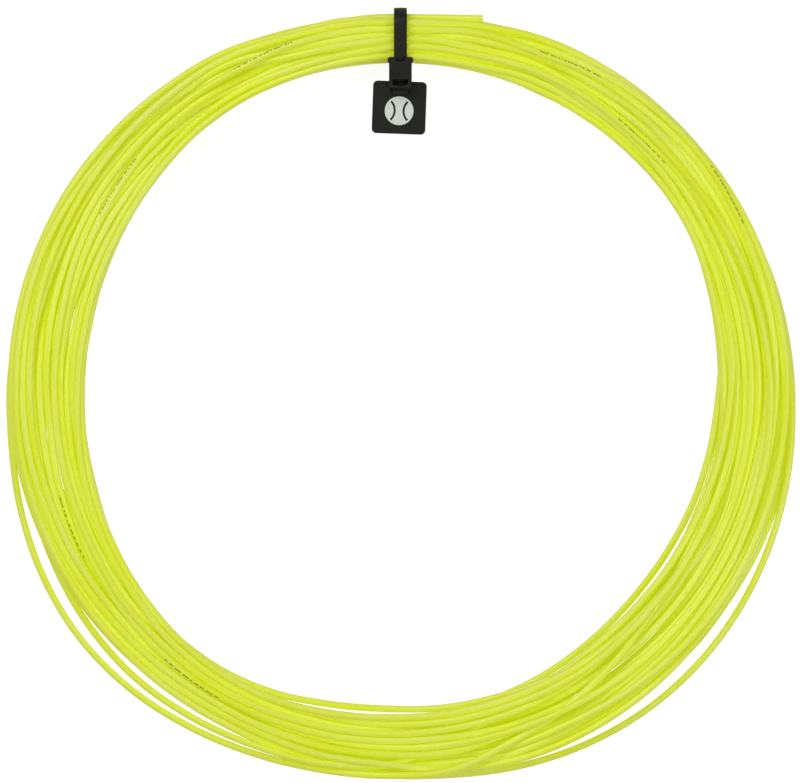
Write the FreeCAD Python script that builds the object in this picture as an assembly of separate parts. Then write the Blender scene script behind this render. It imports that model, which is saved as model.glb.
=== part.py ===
import FreeCAD, Part
import math
import os
from FreeCAD import Vector

# A coil of racket string held by one flag tie.
# Millimetres. The coil lies flat: +Z is up through the coil's eye, +Y points at the tie.
# The origin is the middle of the eye, on the surface the coil rests on.

# ---- string and coil -------------------------------------------------------------------------
STRING_D = 1.30
SPACING = 1.35                    # closest the axes of two strands come
TURNS = 28
STEP_DEG = 5.0                    # between two nodes of the winding; arcs join every other node
NODES_PER_TURN = 72
START_DEG = 107.5                 # the buried inner end, left of the tie
END_DEG = 77.5                    # the free outer end, right of the tie
END_LINE_Y = 71.42                # the free end leaves the tie along a straight line
END_LINE_SLOPE_Y = -0.019
END_LINE_SLOPE_Z = 0.11
END_LINE_Z = 4.55
BURIED_R = 67.6
REST_GAP = 0.05                   # room for the sag of the arcs between two nodes
HELD_START = 7                    # nodes at the buried end that stay put
HELD_END = 4                      # nodes on the straight free end
STRAY_PULL = 0.5                  # how firmly a stray strand keeps its place
BUNDLE_PULL = 0.05

# inner and outer edge of the bundle at twelve clock positions, counter-clockwise from +X
BUNDLE_INNER = [60.2, 62.8, 62.6, 62.6, 62.8, 60.8, 59.9, 62.0, 63.6, 61.9, 60.9, 60.3]
BUNDLE_OUTER = [74.9, 74.3, 73.5, 72.1, 73.6, 75.0, 75.2, 74.3, 73.0, 74.4, 75.2, 74.9]

# strands that stand off the bundle: turn, clock angle, half span, distance (negative is inwards)
STRAYS = [
    (26, 224.0, 52.0, 4.6),
    (22, 230.0, 34.0, 2.3),
    (4, 260.0, 36.0, -1.7),
    (24, 320.0, 58.0, 3.2),
    (20, 350.0, 40.0, 1.0),
    (7, 320.0, 40.0, -1.3),
]

# the section the tie holds the bundle to
WAIST_DEG = 92.5
WAIST_HALF_SPAN = 6.8
WAIST_R = 67.3
WAIST_Z = 4.42
WAIST_HALF_R = 4.79
WAIST_HALF_Z = 3.3
WAIST_ROUND = 2.25

SETTLE_ROUNDS = 300
CALM_ROUNDS = 160
SEPARATE_ROUNDS = 300

# ---- tie strap -------------------------------------------------------------------------------
LOOP_GAP = 0.12                   # between the bundle and the strap
STRAP_T = 1.0
STRAP_HALF_W = 1.25
TAIL_Y = 59.2
TOOTH_PITCH = 0.6
TOOTH_DEPTH = 0.26
TOOTH_HALF_W = 0.85
TOOTH_STEEP = 0.12                # run of the locking flank
TOOTH_GENTLE = 0.32               # run of the sliding flank
TOOTH_FLAT = 0.08
PLAIN_ROOT = 6.5                  # length of strap without teeth next to the head
FIRST_GROOVE = 0.45               # from the tail's end to the middle of the nearest groove

# ---- tie head --------------------------------------------------------------------------------
HEAD_END_Y = 57.7
HEAD_SEAT_Y = 62.39
HEAD_NECK_Y = 62.5
FLANGE_Y = 63.67
HEAD_HALF_W = 2.18
FLANGE_HALF_W = 2.46
HEAD_Z0 = 6.55
HEAD_Z1 = 9.55
FLANGE_Z1 = 9.65
CHANNEL_GAP = 0.06
CHANNEL_ROOF = 0.08
ROOF_END_Y = 59.4
STEP_Y = 60.35
STEP_DROP = 0.14
EXIT_HALF_W = 1.5
EXIT_ARC_R = 2.725
EXIT_LOW_Y = 58.05
NOTCH_HALF_W = 0.9
NOTCH_Y = 62.85

# ---- pawl ------------------------------------------------------------------------------------
PAWL_Y = 61.75
PAWL_Z = 7.5
PAWL_BEAD_R = 0.26
PAWL_HALF_W = 0.95
PAWL_TIP_Y = 60.0
PAWL_HALF_T = 0.18
PAWL_TOOTH_HALF_W = 0.75
PAWL_TEETH = 2
PAWL_FIRST_GROOVE = 1              # the strap's groove that its outermost tooth stands in
TOOTH_GAP = 0.03
CAVITY_HALF_W = 1.06
CAVITY_Y = 59.8
CAVITY_Z = 6.95
BEAD_GAP = 0.06

# ---- tag -------------------------------------------------------------------------------------
TAG_PIVOT_Y = 57.65
TAG_PIVOT_Z = 7.1
TAG_BEAD_R = 0.30
NECK_HALF_W = 1.55
TAG_W = 10.28
TAG_H = 10.08
TAG_TOP_Y = 59.1
TAG_Z0 = 5.0
TAG_T = 1.0
TAG_CORNER = 0.9
TAG_EDGE = 0.14
TAG_TWIST_DEG = -2.0
TAG_SHIFT_X = -0.1
MARK_R = 2.75
MARK_T = 0.04
MARK_DROP = 0.62                  # the mark sits below the tag's middle
SEAM_R = 2.5
SEAM_HALF_W = 0.2
SEAM_OFFSET = 3.35
SEAM_LIMIT_R = 2.4

HALF = STRING_D / 2
LOOP_HALF_R = WAIST_HALF_R + LOOP_GAP
LOOP_HALF_Z = WAIST_HALF_Z + LOOP_GAP
LOOP_ROUND = WAIST_ROUND + LOOP_GAP
STRAP_TOP_Z = WAIST_Z + LOOP_HALF_Z
WAIST_FLOOR = WAIST_Z - WAIST_HALF_Z
LAST_NODE = TURNS * NODES_PER_TURN + round((START_DEG - END_DEG) / STEP_DEG)


# ---- winding ---------------------------------------------------------------------------------
def glide(a, b, c, d, f):
    """Catmull-Rom value at fraction f between b and c."""
    return b + 0.5 * f * (c - a + f * (2 * a - 5 * b + 4 * c - d + f * (3 * (b - c) + d - a)))


def around(values, deg):
    """Smooth closed curve through values spaced evenly round the coil."""
    count = len(values)
    place = (deg % 360.0) / 360.0 * count
    i = int(place)
    a, b, c, d = (values[(i + k) % count] for k in (-1, 0, 1, 2))
    return glide(a, b, c, d, place - i)


def fold(x):
    """Triangle wave between 0 and 1."""
    return 1 - abs(2 * (x % 1.0) - 1)


def ease(x):
    x = min(1.0, max(0.0, x))
    return x * x * (3 - 2 * x)


def off_waist(deg):
    return abs((deg - WAIST_DEG + 180.0) % 360.0 - 180.0)


def plan_node(i):
    """Clock angle, wanted radius, radius limits, floor, pull and starting height of one node."""
    deg = START_DEG - i * STEP_DEG
    turns = i / NODES_PER_TURN
    inner = around(BUNDLE_INNER, deg) + HALF
    outer = around(BUNDLE_OUTER, deg) - HALF
    share = 1.24 * fold(0.313 * turns + 0.07 * math.sin(0.9 * turns + 0.6) + 0.2) - 0.12
    goal = inner + min(1, max(0, share)) * (outer - inner)
    low, high, pull = inner, outer, BUNDLE_PULL
    for turn, centre, span, distance in STRAYS:
        away = abs(deg - (centre - 360.0 * turn)) / span
        edge = inner if distance < 0 else outer
        goal += (1 - ease(away - 0.9)) * (edge - goal)
        if away < 1:
            goal += distance * (0.5 + 0.5 * math.cos(math.pi * away))
            low, high, pull = min(low, goal), max(high, goal), STRAY_PULL
    left_deg = (LAST_NODE - i) * STEP_DEG
    goal += (1 - ease((left_deg - 25) / 45)) * (outer - goal)
    lift = ease(1 - (off_waist(deg) - WAIST_HALF_SPAN) / 28.0)
    floor = HALF + REST_GAP + (WAIST_FLOOR - REST_GAP) * lift
    height = floor + 0.6 + 4.2 * fold(0.71 * turns + 0.37)
    return deg, goal, low, high, floor, pull, height


def close_pairs(r, z):
    """Pairs of strands that pass near each other, section by section."""
    pairs = []
    for first in range(NODES_PER_TURN):
        for i in range(first, len(r), NODES_PER_TURN):
            for j in range(i + NODES_PER_TURN, len(r), NODES_PER_TURN):
                if abs(r[j] - r[i]) < SPACING + 1.3 and abs(z[j] - z[i]) < SPACING + 0.5:
                    pairs.append((i, j))
    return pairs


def separate(r, z, pairs):
    """One round of contact: push strands apart where they pass closest; returns the worst lack."""
    worst = 0.0
    for i, j in pairs:
        dr = r[j] - r[i]
        dz = z[j] - z[i]
        share = 0.0
        if j < LAST_NODE:
            turn_r = r[j + 1] - r[i + 1] - dr
            turn_z = z[j + 1] - z[i + 1] - dz
            length = turn_r * turn_r + turn_z * turn_z + 1e-9
            share = min(1.0, max(0.0, -(dr * turn_r + dz * turn_z) / length))
            dr += share * turn_r
            dz += share * turn_z
        gap = math.sqrt(dr * dr + dz * dz) + 1e-6
        if gap < SPACING:
            worst = max(worst, SPACING - gap)
            here = 1 - share
            push = 0.5 * (SPACING - gap) / gap / (here * here + share * share)
            shove(r, i, j, dr * push * here)
            shove(z, i, j, dz * push * here)
            if share:
                shove(r, i + 1, j + 1, dr * push * share)
                shove(z, i + 1, j + 1, dz * push * share)
    return worst


def shove(values, i, j, by):
    values[i] -= by
    values[j] += by


def smooth(values, share):
    """Spread bends along the string."""
    before = values[0]
    for i in range(1, LAST_NODE):
        here = values[i]
        values[i] = here + share * (before + values[i + 1] - 2 * here)
        before = here


def between(values, i):
    """Value of the smooth curve through the even nodes, at odd node i."""
    before = values[max(0, i - 3)]
    after = values[min(LAST_NODE, i + 3)]
    return 0.5625 * (values[i - 1] + values[i + 1]) - 0.0625 * (before + after)


def follow_curve(values):
    """Bring the odd nodes onto the smooth curve through the even ones."""
    for i in range(1, LAST_NODE, 2):
        off = 0.4 * (values[i] - between(values, i))
        values[i - 1] += off
        values[i + 1] += off
        values[i] -= off
    for i in range(1, LAST_NODE, 2):
        values[i] = between(values, i)


def hold_in_waist(r, z):
    """Keep a node inside the rounded section under the tie."""
    dr = r - WAIST_R
    dz = z - WAIST_Z
    core_r = WAIST_HALF_R - WAIST_ROUND
    core_z = WAIST_HALF_Z - WAIST_ROUND
    over_r = dr - max(-core_r, min(core_r, dr))
    over_z = dz - max(-core_z, min(core_z, dz))
    over = math.hypot(over_r, over_z)
    limit = WAIST_ROUND - HALF
    if over <= limit:
        return r, z
    return r - over_r * (1 - limit / over), z - over_z * (1 - limit / over)


def held_nodes(plan):
    """Nodes with a set place: the straight free end and the buried start."""
    held = {}
    for i in range(LAST_NODE + 1 - HELD_END, LAST_NODE + 1):
        angle = math.radians(plan[i][0])
        r = END_LINE_Y / (math.sin(angle) - END_LINE_SLOPE_Y * math.cos(angle))
        held[i] = (r, END_LINE_Z + END_LINE_SLOPE_Z * r * math.cos(angle))
    for i in range(HELD_START):
        held[i] = (BURIED_R, plan[i][4])
    return held


def wind():
    """Radius, height and clock angle of every node of the string."""
    plan = [plan_node(i) for i in range(LAST_NODE + 1)]
    held = held_nodes(plan)
    r = [node[1] for node in plan]
    z = [node[6] for node in plan]
    pairs = []
    for lap in range(SETTLE_ROUNDS + CALM_ROUNDS + SEPARATE_ROUNDS):
        settling = lap < SETTLE_ROUNDS
        if settling:
            r = [a + node[5] * (node[1] - a) for a, node in zip(r, plan)]
            z = [a - 0.035 for a in z]
        elif lap < SETTLE_ROUNDS + CALM_ROUNDS:
            strays = [node[5] == STRAY_PULL for node in plan]
            r = [a + 0.5 * (node[1] - a) * stray for a, node, stray in zip(r, plan, strays)]
            z = [a - 0.004 for a in z]
        if lap < SETTLE_ROUNDS + CALM_ROUNDS:
            smooth(r, 0.25 if settling else 0.08)
            smooth(z, 0.25 if settling else 0.08)
        if lap % (5 if settling else 10) == 0:
            pairs = close_pairs(r, z)
        worst = separate(r, z, pairs)
        if not settling:
            follow_curve(r)
            follow_curve(z)
        for i, (deg, goal, low, high, floor, pull, height) in enumerate(plan):
            r[i] = min(high, max(low, r[i]))
            z[i] = max(floor, z[i])
            if off_waist(deg) <= WAIST_HALF_SPAN + STEP_DEG:
                r[i], z[i] = hold_in_waist(r[i], z[i])
        for i, place in held.items():
            r[i], z[i] = place
        if not settling and worst < 0.02:
            break
    return r, z, [node[0] for node in plan]


# ---- string ----------------------------------------------------------------------------------
def path_points():
    """Where the string's centre line passes the even nodes, and its direction there."""
    r, z, clock = wind()
    step = math.radians(STEP_DEG)
    points, ways = [], []
    for i in range(0, LAST_NODE + 1, 2):
        angle = math.radians(clock[i])
        out = Vector(math.cos(angle), math.sin(angle), 0)
        back, ahead = max(0, i - 2), min(LAST_NODE, i + 2)
        run = (ahead - back) * step
        way = Vector(out.y, -out.x, 0) * r[i]
        way += out * ((r[ahead] - r[back]) / run)
        way += Vector(0, 0, (z[ahead] - z[back]) / run)
        points.append(out * r[i] + Vector(0, 0, z[i]))
        ways.append(way.normalize())
    straight = (points[-1] - points[-2]).normalize()
    return points, ways[:-2] + [straight, straight]


def arc_between(start, end, corner):
    """Arc from start to end whose end tangents meet in corner."""
    middle = (start + end) * 0.5
    rise = corner - middle
    if rise.Length < 1e-6:
        return Part.makeLine(start, end)
    half_turn = math.acos(min(1.0, (start - middle).Length / (start - corner).Length))
    radius = (start - middle).Length / math.sin(half_turn)
    crown = middle + rise.normalize() * (radius * (1 - math.cos(half_turn)))
    return Part.Arc(start, crown, end).toShape()


def joined_arcs(start, way_in, end, way_out):
    """Two arcs that leave start and reach end in the given directions."""
    across = end - start
    a = 2 * (1 - way_in.dot(way_out))
    b = 2 * across.dot(way_in + way_out)
    c = -across.dot(across)
    reach = -2 * c / (b + math.sqrt(b * b - 4 * a * c))
    first = start + way_in * reach
    last = end - way_out * reach
    meet = (first + last) * 0.5
    return [arc_between(start, meet, first), arc_between(meet, end, last)]


def string_solid():
    """The whole string as one round rod, its free end straight and cut square."""
    points, ways = path_points()
    edges = []
    for i in range(len(points) - 2):
        edges += joined_arcs(points[i], ways[i], points[i + 1], ways[i + 1])
    edges.append(Part.makeLine(points[-2], points[-1]))
    section = Part.Face(Part.Wire(Part.makeCircle(HALF, points[0], ways[0])))
    return Part.Wire(edges).makePipe(section)


# ---- solids from outlines --------------------------------------------------------------------
def block(x0, x1, y0, y1, z0, z1):
    return Part.makeBox(x1 - x0, y1 - y0, z1 - z0, Vector(x0, y0, z0))


def across(outline, half_width):
    """Solid of the given outline in the YZ plane, centred on X."""
    wire = Part.makePolygon([Vector(-half_width, y, z) for y, z in outline + outline[:1]])
    return Part.Face(wire).extrude(Vector(2 * half_width, 0, 0))


def bead(y, z, radius, half_width):
    """Cylinder along X."""
    return Part.makeCylinder(radius, 2 * half_width, Vector(-half_width, y, z), Vector(1, 0, 0))


def rounded_plate(half_x, y0, y1, z0, z1, radius):
    """Plate with rounded corners in plan."""
    plate = block(-half_x, half_x, y0, y1, z0, z1)
    corners = [e for e in plate.Edges if abs(e.tangentAt(e.FirstParameter).z) > 0.99]
    return plate.makeFillet(radius, corners)


def edges_at(shape, z):
    """Edges that lie in a level plane."""
    return [e for e in shape.Edges if all(abs(v.Z - z) < 1e-6 for v in e.Vertexes)]


# ---- tie strap -------------------------------------------------------------------------------
def loop_wire(out):
    """Side view of the loop from the head's underside round the bundle to the tail.

    out is the distance from the loop's inner surface.
    """
    half_r, half_z = LOOP_HALF_R + out, LOOP_HALF_Z + out
    radius = LOOP_ROUND + out
    inside, outside = WAIST_R - half_r, WAIST_R + half_r
    bottom, top = WAIST_Z - half_z, WAIST_Z + half_z
    reach = radius * (1 - math.sqrt(0.5))
    spots = [
        (inside, HEAD_Z0), (inside, bottom + radius),
        (inside + reach, bottom + reach), (inside + radius, bottom),
        (outside - radius, bottom), (outside - reach, bottom + reach),
        (outside, bottom + radius), (outside, top - radius),
        (outside - reach, top - reach), (outside - radius, top), (TAIL_Y, top),
    ]
    p = [Vector(-STRAP_HALF_W, y, z) for y, z in spots]
    return [
        Part.makeLine(p[0], p[1]), Part.Arc(p[1], p[2], p[3]).toShape(),
        Part.makeLine(p[3], p[4]), Part.Arc(p[4], p[5], p[6]).toShape(),
        Part.makeLine(p[6], p[7]), Part.Arc(p[7], p[8], p[9]).toShape(),
        Part.makeLine(p[9], p[10]),
    ]


def tooth_groove(point, way):
    """Cutter for one groove between two teeth; way points from the root to the tail."""
    into = Vector(0, way.z, -way.y)
    steep = TOOTH_FLAT / 2 + TOOTH_STEEP
    gentle = TOOTH_FLAT / 2 + TOOTH_GENTLE
    corners = [
        (steep, -0.02), (TOOTH_FLAT / 2, TOOTH_DEPTH),
        (-TOOTH_FLAT / 2, TOOTH_DEPTH), (-gentle, -0.02),
    ]
    start = Vector(-TOOTH_HALF_W, 0, 0)
    spots = [start + point + way * a + into * b for a, b in corners]
    face = Part.Face(Part.makePolygon(spots + spots[:1]))
    return face.extrude(Vector(2 * TOOTH_HALF_W, 0, 0))


def strap():
    inner = loop_wire(0)
    outer = loop_wire(STRAP_T)
    starts = [edges[0].Vertexes[0].Point for edges in (inner, outer)]
    ends = [edges[-1].Vertexes[-1].Point for edges in (inner, outer)]
    sides = inner + outer + [Part.makeLine(*starts), Part.makeLine(*ends)]
    face = Part.Face(Part.Wire(Part.__sortEdges__(sides)))
    band = face.extrude(Vector(2 * STRAP_HALF_W, 0, 0))
    grooves = []
    place = Part.Wire(inner).Length - FIRST_GROOVE
    while place > PLAIN_ROOT:
        point, way = along_loop(inner, place)
        grooves.append(tooth_groove(Vector(0, point.y, point.z), way))
        place -= TOOTH_PITCH
    return band.cut(grooves)


def along_loop(edges, distance):
    """Point and direction at a distance along a chain of edges."""
    for edge in edges:
        if distance <= edge.Length:
            break
        distance -= edge.Length
    at = edge.getParameterByLength(distance)
    return edge.valueAt(at), edge.tangentAt(at)


# ---- tie head --------------------------------------------------------------------------------
def head_body():
    """Outside of the head: a block with a flared mouth."""
    body = rounded_plate(HEAD_HALF_W, HEAD_END_Y, HEAD_SEAT_Y, HEAD_Z0, HEAD_Z1, 0.3)
    upper = rounded_plate(HEAD_HALF_W, HEAD_END_Y, HEAD_NECK_Y + 0.4, STRAP_TOP_Z, HEAD_Z1, 0.3)
    body = body.fuse(upper)
    body = body.makeFillet(0.16, edges_at(body, HEAD_Z1))
    flange = rounded_plate(FLANGE_HALF_W, HEAD_NECK_Y, FLANGE_Y, STRAP_TOP_Z, FLANGE_Z1, 0.5)
    flange = flange.makeFillet(0.2, edges_at(flange, FLANGE_Z1))
    return body.fuse(flange).removeSplitter()


def head():
    body = head_body()
    roof = STRAP_TOP_Z + STRAP_T + CHANNEL_ROOF
    wide = STRAP_HALF_W + CHANNEL_GAP
    channel = block(-wide, wide, ROOF_END_Y - 0.6, FLANGE_Y + 1, STRAP_TOP_Z, roof)
    notch = rounded_plate(NOTCH_HALF_W, NOTCH_Y, FLANGE_Y + 2, roof - 0.1, FLANGE_Z1 + 1, 0.35)
    arc_centre = Vector(0, EXIT_LOW_Y + EXIT_ARC_R, STRAP_TOP_Z)
    recess = block(-EXIT_HALF_W, EXIT_HALF_W, HEAD_END_Y, ROOF_END_Y, STRAP_TOP_Z, HEAD_Z1 + 1)
    recess = recess.common(Part.makeCylinder(EXIT_ARC_R, 4, arc_centre))
    step = block(-HEAD_HALF_W - 1, HEAD_HALF_W + 1, HEAD_END_Y - 1, STEP_Y,
                 HEAD_Z1 - STEP_DROP, HEAD_Z1 + 1)
    cavity = block(-CAVITY_HALF_W, CAVITY_HALF_W, CAVITY_Y, PAWL_Y, CAVITY_Z, STRAP_TOP_Z)
    pawl_seat = bead(PAWL_Y, PAWL_Z, PAWL_BEAD_R + BEAD_GAP, CAVITY_HALF_W)
    tag_seat = bead(TAG_PIVOT_Y, TAG_PIVOT_Z, TAG_BEAD_R + BEAD_GAP, HEAD_HALF_W + 1)
    return body.cut([channel, notch, recess, step, cavity, pawl_seat, tag_seat])


# ---- pawl ------------------------------------------------------------------------------------
def pawl_tooth(y):
    """One tooth of the pawl, standing in the strap's groove at y with a small gap."""
    rise = STRAP_TOP_Z + TOOTH_DEPTH - TOOTH_GAP
    steep = TOOTH_FLAT / 2 + TOOTH_STEEP - TOOTH_GAP
    gentle = TOOTH_FLAT / 2 + TOOTH_GENTLE - 2 * TOOTH_GAP
    crest = TOOTH_FLAT / 2 - TOOTH_GAP
    beam = PAWL_Z + PAWL_HALF_T
    outline = [
        (y - steep, beam), (y + gentle, beam), (y + gentle, STRAP_TOP_Z - 0.02),
        (y + crest, rise), (y - crest, rise), (y - steep, STRAP_TOP_Z - 0.02),
    ]
    return across(outline, PAWL_TOOTH_HALF_W)


def pawl():
    """Cantilever that bites the strap: a bead at its root, a beam and its teeth."""
    beam = block(-PAWL_HALF_W, PAWL_HALF_W, PAWL_TIP_Y, PAWL_Y,
                 PAWL_Z - PAWL_HALF_T, PAWL_Z + PAWL_HALF_T)
    first = TAIL_Y + FIRST_GROOVE
    spots = [first + (PAWL_FIRST_GROOVE + k) * TOOTH_PITCH for k in range(PAWL_TEETH)]
    parts = [bead(PAWL_Y, PAWL_Z, PAWL_BEAD_R, PAWL_HALF_W)]
    parts += [pawl_tooth(y) for y in spots]
    return beam.fuse(parts).removeSplitter()


# ---- tag -------------------------------------------------------------------------------------
def twist(shape):
    """The tag hangs a little askew in plan."""
    shape.rotate(Vector(0, TAG_PIVOT_Y, 0), Vector(0, 0, 1), TAG_TWIST_DEG)
    shape.translate(Vector(TAG_SHIFT_X, 0, 0))
    return shape


def tag_neck():
    """Gusset between the head's end and the tag's face, with the bead it swings on."""
    top = TAG_Z0 + TAG_T
    y, z = TAG_PIVOT_Y, TAG_PIVOT_Z
    outline = [
        (y - 0.05, z + 0.25), (y - 0.3, z + 0.15), (y - 1.35, top),
        (y - 0.4, top), (y - 0.2, z - 0.2), (y - 0.02, z - 0.1),
    ]
    web = across(outline, NECK_HALF_W)
    return web.fuse(bead(y, z, TAG_BEAD_R, NECK_HALF_W)).removeSplitter()


def tag_plate():
    top = TAG_Z0 + TAG_T
    plate = rounded_plate(TAG_W / 2, TAG_TOP_Y - TAG_H, TAG_TOP_Y, TAG_Z0, top, TAG_CORNER)
    rims = edges_at(plate, TAG_Z0) + edges_at(plate, top)
    return twist(plate.makeFillet(TAG_EDGE, rims))


def tag_mark():
    """A plain ball pictogram printed on the tag: a disc with two curved seams."""
    centre = Vector(0, TAG_TOP_Y - TAG_H / 2 - MARK_DROP, TAG_Z0 + TAG_T)
    disc = Part.makeCylinder(MARK_R, MARK_T, centre)
    seams = []
    for side in (-1, 1):
        hub = centre + Vector(side * SEAM_OFFSET, 0, 0)
        ring = Part.makeCylinder(SEAM_R + SEAM_HALF_W, MARK_T, hub)
        ring = ring.cut(Part.makeCylinder(SEAM_R - SEAM_HALF_W, MARK_T, hub))
        seams.append(ring.common(Part.makeCylinder(SEAM_LIMIT_R, MARK_T, centre)))
    return twist(disc.cut(seams))


def write(name, shape):
    solid = shape.Solids[0] if len(shape.Solids) == 1 else shape
    solid.exportStep(os.path.join("parts", name + ".step"))


os.makedirs("parts", exist_ok=True)
write("string", string_solid())
write("tie_strap", strap())
write("tie_head", head())
write("tie_pawl", pawl())
write("tag_neck", tag_neck())
write("tag_plate", tag_plate())
write("tag_mark", tag_mark())
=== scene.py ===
import heapq
import math

import bmesh
import bpy
import numpy as np
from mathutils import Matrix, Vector


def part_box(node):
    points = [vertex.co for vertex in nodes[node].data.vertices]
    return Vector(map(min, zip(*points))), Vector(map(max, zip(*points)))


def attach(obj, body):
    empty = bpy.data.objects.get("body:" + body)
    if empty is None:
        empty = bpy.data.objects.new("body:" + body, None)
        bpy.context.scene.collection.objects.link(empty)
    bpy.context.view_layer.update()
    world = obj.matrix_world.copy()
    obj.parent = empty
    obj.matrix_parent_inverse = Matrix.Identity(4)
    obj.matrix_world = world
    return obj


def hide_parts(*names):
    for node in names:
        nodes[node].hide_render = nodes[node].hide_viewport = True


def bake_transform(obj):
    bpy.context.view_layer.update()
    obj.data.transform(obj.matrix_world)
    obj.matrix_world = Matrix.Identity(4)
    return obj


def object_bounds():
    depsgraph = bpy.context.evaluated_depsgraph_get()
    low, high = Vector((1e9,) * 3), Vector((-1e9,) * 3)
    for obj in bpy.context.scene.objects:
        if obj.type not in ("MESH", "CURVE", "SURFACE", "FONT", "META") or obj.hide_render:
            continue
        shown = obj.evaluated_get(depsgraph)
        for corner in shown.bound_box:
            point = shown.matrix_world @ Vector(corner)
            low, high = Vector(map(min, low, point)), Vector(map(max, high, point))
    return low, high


# A coil of racket string held by one black flag tie, in metres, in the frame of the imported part.
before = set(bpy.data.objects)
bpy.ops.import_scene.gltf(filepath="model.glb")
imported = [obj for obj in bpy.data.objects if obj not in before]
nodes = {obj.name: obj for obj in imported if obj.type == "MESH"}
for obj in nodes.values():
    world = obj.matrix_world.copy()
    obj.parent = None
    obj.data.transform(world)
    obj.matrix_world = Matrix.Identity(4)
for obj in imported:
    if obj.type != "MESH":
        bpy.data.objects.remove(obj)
cad_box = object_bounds()

MM = 0.001

# ---- string ----
STRING_R = 0.65 * MM
STRING_SIDES = 16
END_CHAMFER = 0.05 * MM
RING_GAP = 0.3 * MM                # rings of the CAD string stand further apart than this
WELD = 0.0001 * MM
RIM_NORMAL = 0.9                   # corners on a sharp rim have an average normal shorter than this

# where the maker's line of print faces up: degrees from +X towards +Y, and millimetres from the middle
PRINTS = [
    (112.3, 68.3), (144.1, 66.9), (62.3, 69.8), (45.9, 66.6),
    (30.0, 73.0), (202.4, 67.9), (233.3, 68.9),
]
PRINT_HALF_LENGTH = 6.5 * MM
PRINT_REACH = 0.9 * MM
PRINT_REACH_DEG = 1.2
PRINT_PLACE = 0.60                 # share of the way round from the underside to the print
PRINT_BAND = 0.035                 # half the print's width, as a share of the way round
PRINT_SOFT = 0.15                  # soft edge of the print, as a share of the band
PRINT_INK = 0.7
NO_PRINT = 1.0                     # stored far from any print, in metres

# ---- tie ----
STRAP_T = 1.0 * MM
LOOP_DEPTH = 9.82 * MM             # inside of the loop, from the eye's side to the outer side
BEND_R = 2.37 * MM                 # inside of its corners
STRAP_STEP = 0.25 * MM
STRAP_CROWN = 0.03 * MM
CROWN_PLACE = 0.45                 # share of the half width where the crown has dropped by a fifth
INNER_ROUND = 0.10 * MM
INNER_STEPS = 3
OUTER_ROUND = 0.20 * MM
OUTER_STEPS = 4
TOOTH_HALF_W = 0.85 * MM
TOOTH_WALL = 0.02 * MM             # lean of the wall beside the teeth
TOOTH_PITCH = 0.6 * MM
FIRST_GROOVE = 0.45 * MM
PLAIN_ROOT = 6.5 * MM
TOOTH_DEPTH = 0.26 * MM
TOOTH_PROFILE = [
    (0.18 * MM, 0.0), (0.04 * MM, TOOTH_DEPTH), (-0.04 * MM, TOOTH_DEPTH), (-0.36 * MM, 0.0),
]
BEAD_R = 0.30 * MM
# side view of the neck round its pivot, in millimetres, from the bead's top over the tag and back
NECK_PROFILE = [
    (0.28, 0.20), (0.12, 0.31), (-0.10, 0.31), (-0.32, 0.20), (-0.56, -0.10), (-0.80, -0.48),
    (-1.02, -0.78), (-1.18, -0.97), (-1.36, -1.08), (-1.36, -1.14), (-0.30, -1.14),
    (-0.30, -0.80), (-0.22, -0.45), (-0.12, -0.28), (0.10, -0.28), (0.28, -0.12),
]
NECK_ROUND = 0.12 * MM
NECK_ROUND_STEPS = 3
HEAD_SOFTEN = 0.035 * MM
HEAD_WELD = 0.0005 * MM
HEAD_FLAT = math.radians(0.6)
HEAD_SHARP = math.radians(30)
SHARP_EDGE = math.radians(38)      # shading stays smooth over edges that turn less than this

# ---- colours ----
STRING_BRIGHT = (0.84, 0.93, 0.18, 1)
STRING_DEEP = (0.82, 0.905, 0.03, 1)
STRING_SCUFF = (0.85, 0.95, 0.30, 1)
PRINT_COLOUR = (0.13, 0.16, 0.01, 1)
PAINTED_GLOW = 0.12                        # painted glow: the string gives off some light of its own, which lifts its shade
# colour of the string's painted glow
PAINTED_GLOW_COLOUR = (0.93, 0.93, 0.01, 1)
NYLON_DARK = (0.0058, 0.0063, 0.0030, 1)
NYLON_LIGHT = (0.0115, 0.0122, 0.0066, 1)
# pale grey painted onto the nylon's edges as a highlight
NYLON_EDGE_HIGHLIGHT = (0.085, 0.087, 0.080, 1)
INK_DARK = (0.83, 0.86, 0.79, 1)
INK_LIGHT = (0.94, 0.96, 0.90, 1)

# ---- surface detail: repeats in a metre (along the string, and for one turn round it), and depth ----
TONE_GRAIN = (30.0, 0.0, 1.0)
DRAWN_GRAIN = (60.0, 14.0, 1.0)
SCUFF_GRAIN = (900.0, 9.0, 1.0)
DASH_GRAIN = (1500.0, 0.0, 1.0)
DRAWN_DEPTH = 0.004 * MM
SCUFF_SHARE = 0.12
SCATTER = 0.9 * MM
SCATTER_COLOUR = (1.0, 1.0, 0.35)
MOULD_GRAIN = 9000.0
MOULD_DEPTH = 0.006 * MM
FLOW_GRAIN = 350.0
NYLON_GLOSS = 0.30
EDGE_WIDTH = 0.14 * MM
# how strongly the painted edge highlight shows
EDGE_HIGHLIGHT_SHARE = 0.8
PAINTED_SHADE_REACH = 1.3 * MM            # painted shade: nylon with something nearer than this in front of it loses gloss and looks darker
COAT_GRAIN = 1400.0
COAT_DEPTH = 0.004 * MM
SPECK_GRAIN = 5200.0
FIBRE_GRAIN = 900.0
FIBRE_DEPTH = 0.02 * MM

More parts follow.
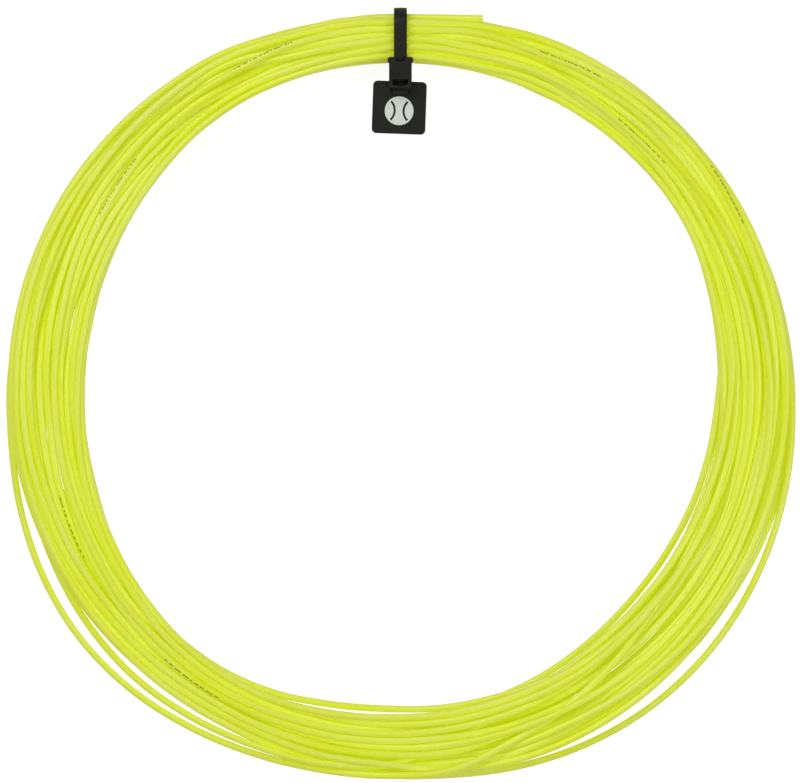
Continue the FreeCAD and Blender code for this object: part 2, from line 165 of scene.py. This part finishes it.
# ---- studio ----
VIEW_WIDTH = 153.2 * MM            # what the picture takes in at the middle of the coil's height
VIEW_CENTRE = Vector((-0.077, -0.287, 4.5)) * MM
CAMERA_HEIGHT = 3.0
CAMERA_REACH = (0.01, 20.0)
SENSOR = 36.0
FLOOR_GAP = 0.02 * MM
FLOOR_HALF = 9.0
FLOOR_SEEN = 0.84                  # the floor's own brightness to the camera
FLOOR_GLOW = 0.30                  # and to the coil
FLOOR_DARK = (0.38, 0.38, 0.38, 1)
FLOOR_LIGHT = (0.42, 0.42, 0.42, 1)
ROOM_LOW = 0.10                    # the room's light from the horizon
ROOM_HIGH = 0.44                   # and from straight above
ROOM_SEEN = 0.93                   # how bright the room looks to the camera behind the floor's edge
LIGHT_COLOUR = (0.94, 1.0, 0.96)
LIGHTS = [
    ("key", (-0.45, 0.45, 0.8), (0.9, 0.35), 3.4),
    ("fill", (0.6, -0.25, 0.7), (0.6, 0.6), 2.07),
]


# ---- meshes ----------------------------------------------------------------------------------
def make_object(name, points, faces, smooth=True):
    mesh = bpy.data.meshes.new(name)
    mesh.from_pydata([tuple(p) for p in points], [], faces)
    mesh.update()
    if smooth:
        mesh.shade_smooth()
    made = bpy.data.objects.new(name, mesh)
    bpy.context.scene.collection.objects.link(made)
    return made


def unit(vectors):
    return vectors / (np.linalg.norm(vectors, axis=-1, keepdims=True) + 1e-12)


# ---- string ----------------------------------------------------------------------------------
def welded(node):
    """Corners, normals and edges of a CAD node, with the copies along its face borders merged."""
    mesh = nodes[node].data
    count = len(mesh.vertices)
    places = np.empty(count * 3, np.float32)
    mesh.vertices.foreach_get("co", places)
    places = places.reshape(-1, 3).astype(float)
    loop_vertex = np.empty(len(mesh.loops), np.int32)
    mesh.loops.foreach_get("vertex_index", loop_vertex)
    loop_normal = np.empty(len(mesh.loops) * 3, np.float32)
    mesh.corner_normals.foreach_get("vector", loop_normal)
    normals = np.zeros((count, 3))
    normals[loop_vertex] = loop_normal.reshape(-1, 3)
    grid = np.round(places / WELD).astype(np.int64)
    copy_of = np.unique(grid, axis=0, return_inverse=True)[1].ravel()
    total = copy_of.max() + 1
    copies = np.bincount(copy_of, minlength=total)[:, None]
    places, normals = (
        np.stack([np.bincount(copy_of, values[:, k], total) for k in range(3)], 1) / copies
        for values in (places, normals)
    )
    corners = copy_of[loop_vertex].reshape(-1, 3)
    edges = np.concatenate([corners[:, [0, 1]], corners[:, [1, 2]], corners[:, [2, 0]]])
    return places, normals, np.unique(np.sort(edges, axis=1), axis=0)


def distances_along(centres, edges, first):
    """Distance of every corner's centre from the string's end, measured along the mesh."""
    lengths = np.linalg.norm(centres[edges[:, 0]] - centres[edges[:, 1]], axis=1)
    tail = np.concatenate([edges[:, 0], edges[:, 1]])
    order = np.argsort(tail, kind="stable")
    head = np.concatenate([edges[:, 1], edges[:, 0]])[order].tolist()
    cost = np.concatenate([lengths, lengths])[order].tolist()
    begin = np.searchsorted(tail[order], np.arange(len(centres) + 1)).tolist()
    reached = [math.inf] * len(centres)
    reached[first] = 0.0
    queue = [(0.0, first)]
    while queue:
        so_far, here = heapq.heappop(queue)
        if so_far > reached[here]:
            continue
        for k in range(begin[here], begin[here + 1]):
            total = so_far + cost[k]
            if total < reached[head[k]]:
                reached[head[k]] = total
                heapq.heappush(queue, (total, head[k]))
    return np.array(reached)


def string_line():
    """Centre line of the CAD string: one point for each of its rings, from the free end on."""
    places, normals, edges = welded("string")
    rim = np.linalg.norm(normals, axis=1) < RIM_NORMAL
    end = int(np.argmax(np.hypot(places[:, 0], places[:, 1]) * rim))
    centres = places - unit(normals) * STRING_R
    along = distances_along(centres, edges, end)
    order = np.argsort(along)
    breaks = np.flatnonzero(np.diff(along[order]) > RING_GAP) + 1
    return np.array([places[ring].mean(axis=0) for ring in np.split(order, breaks)])


def print_centres(line, along):
    """Where along the string each line of print is: the topmost strand at its place."""
    found = []
    radii = np.hypot(line[:, 0], line[:, 1])
    clocks = np.degrees(np.arctan2(line[:, 1], line[:, 0])) % 360
    for clock, radius in PRINTS:
        near = (np.abs(radii - radius * MM) < PRINT_REACH) & (np.abs(clocks - clock) < PRINT_REACH_DEG)
        if near.any():
            found.append(along[np.argmax(np.where(near, line[:, 2], -1))])
    return found


def string_rings(line):
    """Rings of corners round the centre line, with chamfered ends, and their distances along it."""
    steps = np.linalg.norm(np.diff(line, axis=0), axis=1)
    along = np.concatenate([[0.0], np.cumsum(steps)])
    way = unit(np.gradient(line, along, axis=0))
    up = unit(np.array([0, 0, 1.0]) - way * way[:, 2:3])
    side = np.cross(way, up)
    first = line[0] + way[0] * END_CHAMFER
    last = line[-1] - way[-1] * END_CHAMFER
    line = np.concatenate([line[:1], [first], line[1:-1], [last], line[-1:]])
    rows = [0, 0] + list(range(1, len(way) - 1)) + [len(way) - 1] * 2
    up, side, along = up[rows], side[rows], along[rows]
    radii = np.full(len(line), STRING_R)
    radii[[0, -1]] -= END_CHAMFER
    turn = math.pi + np.arange(STRING_SIDES) * 2 * math.pi / STRING_SIDES
    ring = up[:, None] * np.cos(turn)[None, :, None] + side[:, None] * np.sin(turn)[None, :, None]
    return line, along, line[:, None] + ring * radii[:, None, None]


def string_faces(along):
    """Faces of the string and, for each of their corners, its place along and round the string."""
    faces, spots = [], []
    for i in range(len(along) - 1):
        a, b = i * STRING_SIDES, (i + 1) * STRING_SIDES
        here, there = along[i], along[i + 1]
        for j in range(STRING_SIDES):
            k = (j + 1) % STRING_SIDES
            low, high = j / STRING_SIDES, (j + 1) / STRING_SIDES
            faces.append((a + j, a + k, b + k, b + j))
            spots += [(here, low), (here, high), (there, high), (there, low)]
    for start in (0, (len(along) - 1) * STRING_SIDES):
        rim = tuple(range(start, start + STRING_SIDES))
        faces.append(rim if start else rim[::-1])
        spots += [(along[start // STRING_SIDES], 0.5)] * STRING_SIDES
    return faces, spots


def print_distances(line, along):
    """For every ring, its distance along the string from the middle of the print near it."""
    distances = np.full(len(line), NO_PRINT)
    for centre in print_centres(line, along):
        away = along - centre
        distances = np.where(np.abs(away) < 2 * PRINT_HALF_LENGTH, away, distances)
    return distances


def build_string():
    """Round string along the CAD centre line, with its ends cut square and print on its upper side."""
    line, along, rings = string_rings(string_line())
    faces, spots = string_faces(along)
    made = make_object("string_coil", rings.reshape(-1, 3), faces)
    mesh = made.data
    uv = mesh.uv_layers.new(name="run")
    uv.data.foreach_set("uv", np.array(spots, np.float32).ravel())
    layer = mesh.attributes.new("print_at", "FLOAT", "POINT")
    distances = np.repeat(print_distances(line, along), STRING_SIDES)
    layer.data.foreach_set("value", distances.astype(np.float32))
    mesh.set_sharp_from_angle(angle=SHARP_EDGE)
    mesh.materials.append(string_material())
    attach(made, "coil")
    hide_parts("string")


# ---- materials -------------------------------------------------------------------------------
class Nodes:
    """A material's node tree, with short calls for the nodes used here."""

    def __init__(self, name):
        self.material = bpy.data.materials.new(name)
        self.material.use_nodes = True
        self.tree = self.material.node_tree
        self.shader = self.tree.nodes["Principled BSDF"]

    def add(self, kind, inputs=(), **settings):
        node = self.tree.nodes.new("ShaderNode" + kind)
        for key, value in settings.items():
            setattr(node, key, value)
        for key, value in dict(inputs).items():
            self.feed(node.inputs[key], value)
        return node

    def feed(self, socket, value):
        if isinstance(value, bpy.types.NodeSocket):
            self.tree.links.new(value, socket)
        else:
            socket.default_value = value

    def math(self, operation, *values):
        return self.add("Math", enumerate(values), operation=operation).outputs[0]

    def noise(self, vector, scale, detail=3.0, roughness=0.55):
        inputs = {"Vector": vector, "Scale": scale, "Detail": detail, "Roughness": roughness}
        return self.add("TexNoise", inputs).outputs["Fac"]

    def ramp(self, value, low, high, to_low=0.0, to_high=1.0):
        inputs = {0: value, 1: low, 2: high, 3: to_low, 4: to_high}
        return self.add("MapRange", inputs, clamp=True).outputs[0]

    def mix(self, share, a, b):
        inputs = {0: share, 6: a, 7: b}
        return self.add("Mix", inputs, data_type="RGBA").outputs[2]

    def stretch(self, vector, scale):
        return self.add("Mapping", {"Vector": vector, "Scale": scale}).outputs[0]

    def bump(self, height, depth, normal=None):
        inputs = {"Height": height, "Distance": depth, "Strength": 1.0}
        if normal is not None:
            inputs["Normal"] = normal
        return self.add("Bump", inputs).outputs[0]

    def finish(self, **inputs):
        for key, value in inputs.items():
            self.feed(self.shader.inputs[key.replace("_", " ")], value)
        return self.material


def string_material():
    """Fluorescent plastic: drawn lines along the string, faint scuffs, a broken line of print and a painted
    glow that lifts its shade.
    """
    m = Nodes("string_plastic")
    run = m.add("UVMap", uv_map="run").outputs[0]
    tone = m.ramp(m.noise(m.stretch(run, TONE_GRAIN), 1.0, 2.0), 0.35, 0.65)
    lines = m.noise(m.stretch(run, DRAWN_GRAIN), 1.0, 4.0)
    scuff = m.ramp(m.noise(m.stretch(run, SCUFF_GRAIN), 1.0, 5.0), 0.62, 0.72)
    scuff = m.math("MULTIPLY", scuff, SCUFF_SHARE)
    colour = m.mix(tone, STRING_DEEP, STRING_BRIGHT)
    colour = m.mix(scuff, colour, STRING_SCUFF)
    ink = print_share(m, run)
    colour = m.mix(ink, colour, PRINT_COLOUR)
    # painted glow: the string gives off light of its own, except where there is print
    painted_glow = m.math("MULTIPLY", m.math("SUBTRACT", 1.0, ink), PAINTED_GLOW)
    rough = m.math("ADD", m.ramp(lines, 0.3, 0.7, 0.20, 0.30), scuff)
    return m.finish(
        Base_Color=colour, Roughness=rough, Normal=m.bump(lines, DRAWN_DEPTH), IOR=1.5,
        Emission_Color=PAINTED_GLOW_COLOUR, Emission_Strength=painted_glow,
        Subsurface_Weight=0.85, Subsurface_Radius=SCATTER_COLOUR, Subsurface_Scale=SCATTER,
        Coat_Weight=0.35, Coat_Roughness=0.12,
    )


def print_share(m, run):
    """How much ink a spot of the string carries: plain dashes in a narrow band near its top."""
    turn = m.add("SeparateXYZ", {0: run}).outputs[1]
    off = m.math("ABSOLUTE", m.math("SUBTRACT", turn, PRINT_PLACE))
    band = m.ramp(off, PRINT_BAND * (1 + PRINT_SOFT), PRINT_BAND * (1 - PRINT_SOFT))
    at = m.add("Attribute", attribute_name="print_at").outputs["Fac"]
    inside = m.ramp(m.math("ABSOLUTE", at), PRINT_HALF_LENGTH, PRINT_HALF_LENGTH * 0.96)
    dashes = m.ramp(m.noise(m.stretch(run, DASH_GRAIN), 1.0, 1.0), 0.46, 0.5)
    return m.math("MULTIPLY", m.math("MULTIPLY", inside, dashes), m.math("MULTIPLY", band, PRINT_INK))


def nylon_material():
    """Satin black nylon: moulded grain, faint flow marks, edges painted a lighter grey as highlights, and
    painted shade in its hollows.
    """
    m = Nodes("tie_nylon")
    place = m.add("TexCoord").outputs["Object"]
    grain = m.noise(place, MOULD_GRAIN, 2.0)
    flow = m.noise(place, FLOW_GRAIN, 3.0)
    plain = m.add("NewGeometry").outputs["Normal"]
    soft = m.add("Bevel", {"Radius": EDGE_WIDTH}, samples=6).outputs[0]
    # painted shade: ambient occlusion finds hollows, and the nylon there loses its gloss
    hollow = m.add("AmbientOcclusion", {"Distance": PAINTED_SHADE_REACH}, samples=8).outputs["AO"]
    open_air = m.ramp(hollow, 0.35, 0.8)
    # painted highlight: where the bevelled normal turns away from the face's own, the edge is painted a
    # paler grey, less so in the shaded hollows
    turn = m.add("VectorMath", {0: plain, 1: soft}, operation="DOT_PRODUCT").outputs["Value"]
    edge = m.math("MULTIPLY", m.ramp(turn, 0.995, 0.86), open_air)
    colour = m.mix(flow, NYLON_DARK, NYLON_LIGHT)
    colour = m.mix(m.math("MULTIPLY", edge, EDGE_HIGHLIGHT_SHARE), colour, NYLON_EDGE_HIGHLIGHT)
    rough = m.ramp(flow, 0.3, 0.7, 0.36, 0.48)
    rough = m.math("ADD", rough, m.math("MULTIPLY", grain, 0.06))
    return m.finish(
        Base_Color=colour, Roughness=rough, Normal=m.bump(grain, MOULD_DEPTH, soft),
        # less gloss in hollows: painted shade
        Specular_IOR_Level=m.math("MULTIPLY_ADD", open_air, NYLON_GLOSS, 0.03),
    )


def ink_material():
    """Pale grey ink printed on the tag, a little uneven and worn through in specks."""
    m = Nodes("tag_ink")
    place = m.add("TexCoord").outputs["Object"]
    coat = m.noise(place, COAT_GRAIN, 4.0)
    speck = m.ramp(m.noise(place, SPECK_GRAIN, 2.0), 0.7, 0.76)
    colour = m.mix(coat, INK_DARK, INK_LIGHT)
    colour = m.mix(m.math("MULTIPLY", speck, 0.5), colour, NYLON_LIGHT)
    rough = m.ramp(coat, 0.3, 0.7, 0.42, 0.55)
    return m.finish(Base_Color=colour, Roughness=rough, Normal=m.bump(coat, COAT_DEPTH), IOR=1.45)


def floor_material():
    """White paper, lit a little from within so that shadows on it stay faint."""
    m = Nodes("paper")
    place = m.add("TexCoord").outputs["Object"]
    fibre = m.noise(place, FIBRE_GRAIN, 4.0)
    seen = m.add("LightPath").outputs["Is Camera Ray"]
    return m.finish(
        Base_Color=m.mix(fibre, FLOOR_DARK, FLOOR_LIGHT), Roughness=0.9, Specular_IOR_Level=0.1,
        Emission_Color=(1, 1, 1, 1), Emission_Strength=m.ramp(seen, 0.0, 1.0, FLOOR_GLOW, FLOOR_SEEN),
        Normal=m.bump(fibre, FIBRE_DEPTH),
    )


# ---- tie -------------------------------------------------------------------------------------
def skin(rings, count):
    """Faces of a tube through rings of count points each, closed at both ends."""
    faces = [tuple(rings[0] + j for j in range(count))]
    for a, b in zip(rings, rings[1:]):
        for j in range(count):
            k = (j + 1) % count
            faces.append((a + j, b + j, b + k, a + k))
    return faces + [tuple(rings[-1] + j for j in reversed(range(count)))]


def tidy_faces(mesh):
    """Outward faces, and hard shading only over real corners."""
    work = bmesh.new()
    work.from_mesh(mesh)
    bmesh.ops.recalc_face_normals(work, faces=work.faces)
    work.to_mesh(mesh)
    work.free()
    mesh.set_sharp_from_angle(angle=SHARP_EDGE)


def finish_piece(made, material, body, node):
    made.data.materials.append(material)
    tidy_faces(made.data)
    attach(made, body)
    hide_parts(node)


def strap_place(distance, box, head_z):
    """Point (y, z) of the strap's inner face and the outward direction there, from root to tail."""
    low, high = box
    outside, inside = high.y - STRAP_T, high.y - STRAP_T - LOOP_DEPTH
    bottom, top = low.z + STRAP_T, high.z - STRAP_T
    bend = BEND_R * math.pi / 2
    legs = [
        ((inside, head_z), (0, -1), head_z - bottom - BEND_R),
        ((inside + BEND_R, bottom), (1, 0), LOOP_DEPTH - 2 * BEND_R),
        ((outside, bottom + BEND_R), (0, 1), top - bottom - 2 * BEND_R),
        ((outside - BEND_R, top), (-1, 0), outside - BEND_R - low.y),
    ]
    for k, ((y, z), (dy, dz), length) in enumerate(legs):
        if distance <= length or k == len(legs) - 1:
            return (y + dy * distance, z + dz * distance), (dz, -dy)
        distance -= length
        if distance < bend:
            angle = distance / BEND_R
            centre_y, centre_z = y + dy * length - dz * BEND_R, z + dz * length + dy * BEND_R
            out = (dz * math.cos(angle) + dy * math.sin(angle), dz * math.sin(angle) - dy * math.cos(angle))
            return (centre_y + out[0] * BEND_R, centre_z + out[1] * BEND_R), out
        distance -= bend


def strap_length(box, head_z):
    bends = 3 * BEND_R * math.pi / 2
    straight = (head_z - box[0].z - STRAP_T - BEND_R) + (LOOP_DEPTH - 2 * BEND_R)
    straight += (box[1].z - box[0].z - 2 * STRAP_T - 2 * BEND_R)
    straight += box[1].y - STRAP_T - BEND_R - box[0].y
    return bends + straight


def strap_section(half, depth):
    """Outline across the strap: (x, height over the inner face); depth is the groove's depth."""
    right = [(TOOTH_HALF_W, depth), (TOOTH_HALF_W + TOOTH_WALL, 0.0)]
    for k in range(INNER_STEPS + 1):
        angle = math.pi / 2 * k / INNER_STEPS
        edge = (1 - math.cos(angle)) * INNER_ROUND
        right.append((half - INNER_ROUND + math.sin(angle) * INNER_ROUND, edge))
    for k in range(OUTER_STEPS + 1):
        angle = math.pi / 2 * k / OUTER_STEPS
        x = half - OUTER_ROUND + math.cos(angle) * OUTER_ROUND
        right.append((x, STRAP_T - STRAP_CROWN - OUTER_ROUND + math.sin(angle) * OUTER_ROUND))
    right.append((CROWN_PLACE * half, STRAP_T - 0.2 * STRAP_CROWN))
    return right + [(0.0, STRAP_T)] + [(-x, z) for x, z in reversed(right)]


def build_strap(material):
    """Strap with rounded edges, a slightly crowned face and a rack of teeth inside."""
    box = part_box("tie_strap")
    head_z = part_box("tie_head")[0].z
    total = strap_length(box, head_z)
    stations = {0.0: 0.0, total: 0.0}
    place = total - FIRST_GROOVE
    while place > PLAIN_ROOT:
        for offset, depth in TOOTH_PROFILE:
            stations[place + offset] = depth
        place -= TOOTH_PITCH
    plain = place + TOOTH_PITCH + TOOTH_PROFILE[-1][0] - STRAP_STEP / 2
    for k in range(1, math.ceil(plain / STRAP_STEP)):
        stations[k * STRAP_STEP] = 0.0
    points, rings = [], []
    count = len(strap_section(box[1].x, 0))
    for at in sorted(stations):
        (y, z), (out_y, out_z) = strap_place(at, box, head_z)
        rings.append(len(points))
        for x, height in strap_section(box[1].x, stations[at]):
            points.append((x, y + out_y * height, z + out_z * height))
    made = make_object("tie_strap_band", points, skin(rings, count))
    finish_piece(made, material, "tie", "tie_strap")


def build_neck(material):
    """Thin moulded web that joins the head to the tag, built in one fixed pose."""
    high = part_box("tag_neck")[1]
    pivot = Vector((0, high.y - BEAD_R, high.z - BEAD_R))
    points, rings = [], []
    middle = np.mean(NECK_PROFILE, axis=0)
    half = high.x - NECK_ROUND
    stations = []
    for k in range(NECK_ROUND_STEPS + 1):
        angle = math.pi / 2 * k / NECK_ROUND_STEPS
        stations.append((-half - NECK_ROUND * math.cos(angle), NECK_ROUND * (1 - math.sin(angle))))
    stations += [(-x, inset) for x, inset in reversed(stations)]
    for x, inset in stations:
        rings.append(len(points))
        for y, z in NECK_PROFILE:
            away = np.array([y, z]) - middle
            y, z = middle + away * (1 - inset / (np.linalg.norm(away) * MM))
            points.append((x, pivot.y + y * MM, pivot.z + z * MM))
    made = make_object("tag_neck_web", points, skin(rings, len(NECK_PROFILE)))
    made.data.materials.append(material)
    tidy_faces(made.data)
    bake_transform(made)
    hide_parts("tag_neck")


def soften(node, name, material, body, width):
    """A copy of a CAD node with its sharp edges rounded off."""
    mesh = bpy.data.meshes.new(name)
    work = bmesh.new()
    work.from_mesh(nodes[node].data)
    bmesh.ops.remove_doubles(work, verts=work.verts, dist=HEAD_WELD)
    bmesh.ops.dissolve_limit(work, angle_limit=HEAD_FLAT, verts=work.verts, edges=work.edges)
    sharp = [e for e in work.edges if len(e.link_faces) == 2 and e.calc_face_angle(0) > HEAD_SHARP]
    bmesh.ops.bevel(
        work, geom=sharp, offset=width, offset_type="OFFSET", segments=2, profile=0.6,
        affect="EDGES", clamp_overlap=False, miter_outer="ARC",
    )
    work.to_mesh(mesh)
    work.free()
    made = bpy.data.objects.new(name, mesh)
    bpy.context.scene.collection.objects.link(made)
    mesh.shade_smooth()
    finish_piece(made, material, body, node)


def paint(piece, material):
    piece.data.materials.clear()
    piece.data.materials.append(material)


def dress_tie():
    nylon = nylon_material()
    build_strap(nylon)
    build_neck(nylon)
    soften("tie_head", "tie_head_shell", nylon, "tie", HEAD_SOFTEN)
    for name in ("tie_pawl", "tag_plate"):
        paint(nodes[name], nylon)
    paint(nodes["tag_mark"], ink_material())


# ---- studio ----------------------------------------------------------------------------------
def build_floor():
    lowest = cad_box[0].z - FLOOR_GAP
    side = FLOOR_HALF
    corners = [(-side, -side, lowest), (side, -side, lowest), (side, side, lowest), (-side, side, lowest)]
    floor = make_object("floor", corners, [(0, 1, 2, 3)], smooth=False)
    floor.data.materials.append(floor_material())


def add_light(name, place, size, power):
    """A soft box that faces the coil."""
    light = bpy.data.lights.new(name, "AREA")
    light.shape = "RECTANGLE"
    light.size, light.size_y = size
    light.energy = power
    light.color = LIGHT_COLOUR
    lamp = bpy.data.objects.new(name, light)
    bpy.context.scene.collection.objects.link(lamp)
    lamp.location = place
    lamp.rotation_euler = (-Vector(place)).to_track_quat("-Z", "Y").to_euler()


def build_room():
    """Pale room, brighter overhead; the camera sees it as an even backdrop."""
    world = bpy.data.worlds.new("room")
    bpy.context.scene.world = world
    world.use_nodes = True
    tree = world.node_tree
    height = tree.nodes.new("ShaderNodeSeparateXYZ")
    tree.links.new(tree.nodes.new("ShaderNodeTexCoord").outputs["Generated"], height.inputs[0])
    sky = tree.nodes.new("ShaderNodeMapRange")
    tree.links.new(height.outputs["Z"], sky.inputs["Value"])
    sky.inputs["To Min"].default_value = ROOM_LOW
    sky.inputs["To Max"].default_value = ROOM_HIGH
    seen = tree.nodes.new("ShaderNodeMapRange")
    tree.links.new(tree.nodes.new("ShaderNodeLightPath").outputs["Is Camera Ray"], seen.inputs["Value"])
    tree.links.new(sky.outputs["Result"], seen.inputs["To Min"])
    seen.inputs["To Max"].default_value = ROOM_SEEN
    back = tree.nodes["Background"]
    back.inputs["Color"].default_value = (1, 1, 1, 1)
    tree.links.new(seen.outputs["Result"], back.inputs["Strength"])


def build_camera():
    data = bpy.data.cameras.new("camera")
    data.sensor_width = SENSOR
    drop = CAMERA_HEIGHT - VIEW_CENTRE.z
    data.lens = SENSOR * drop / VIEW_WIDTH
    data.clip_start, data.clip_end = CAMERA_REACH
    camera = bpy.data.objects.new("camera", data)
    bpy.context.scene.collection.objects.link(camera)
    camera.location = (VIEW_CENTRE.x, VIEW_CENTRE.y, CAMERA_HEIGHT)
    bpy.context.scene.camera = camera
    bpy.context.scene.view_settings.view_transform = "Standard"


build_string()
dress_tie()
build_floor()
build_room()
for light in LIGHTS:
    add_light(*light)
build_camera()
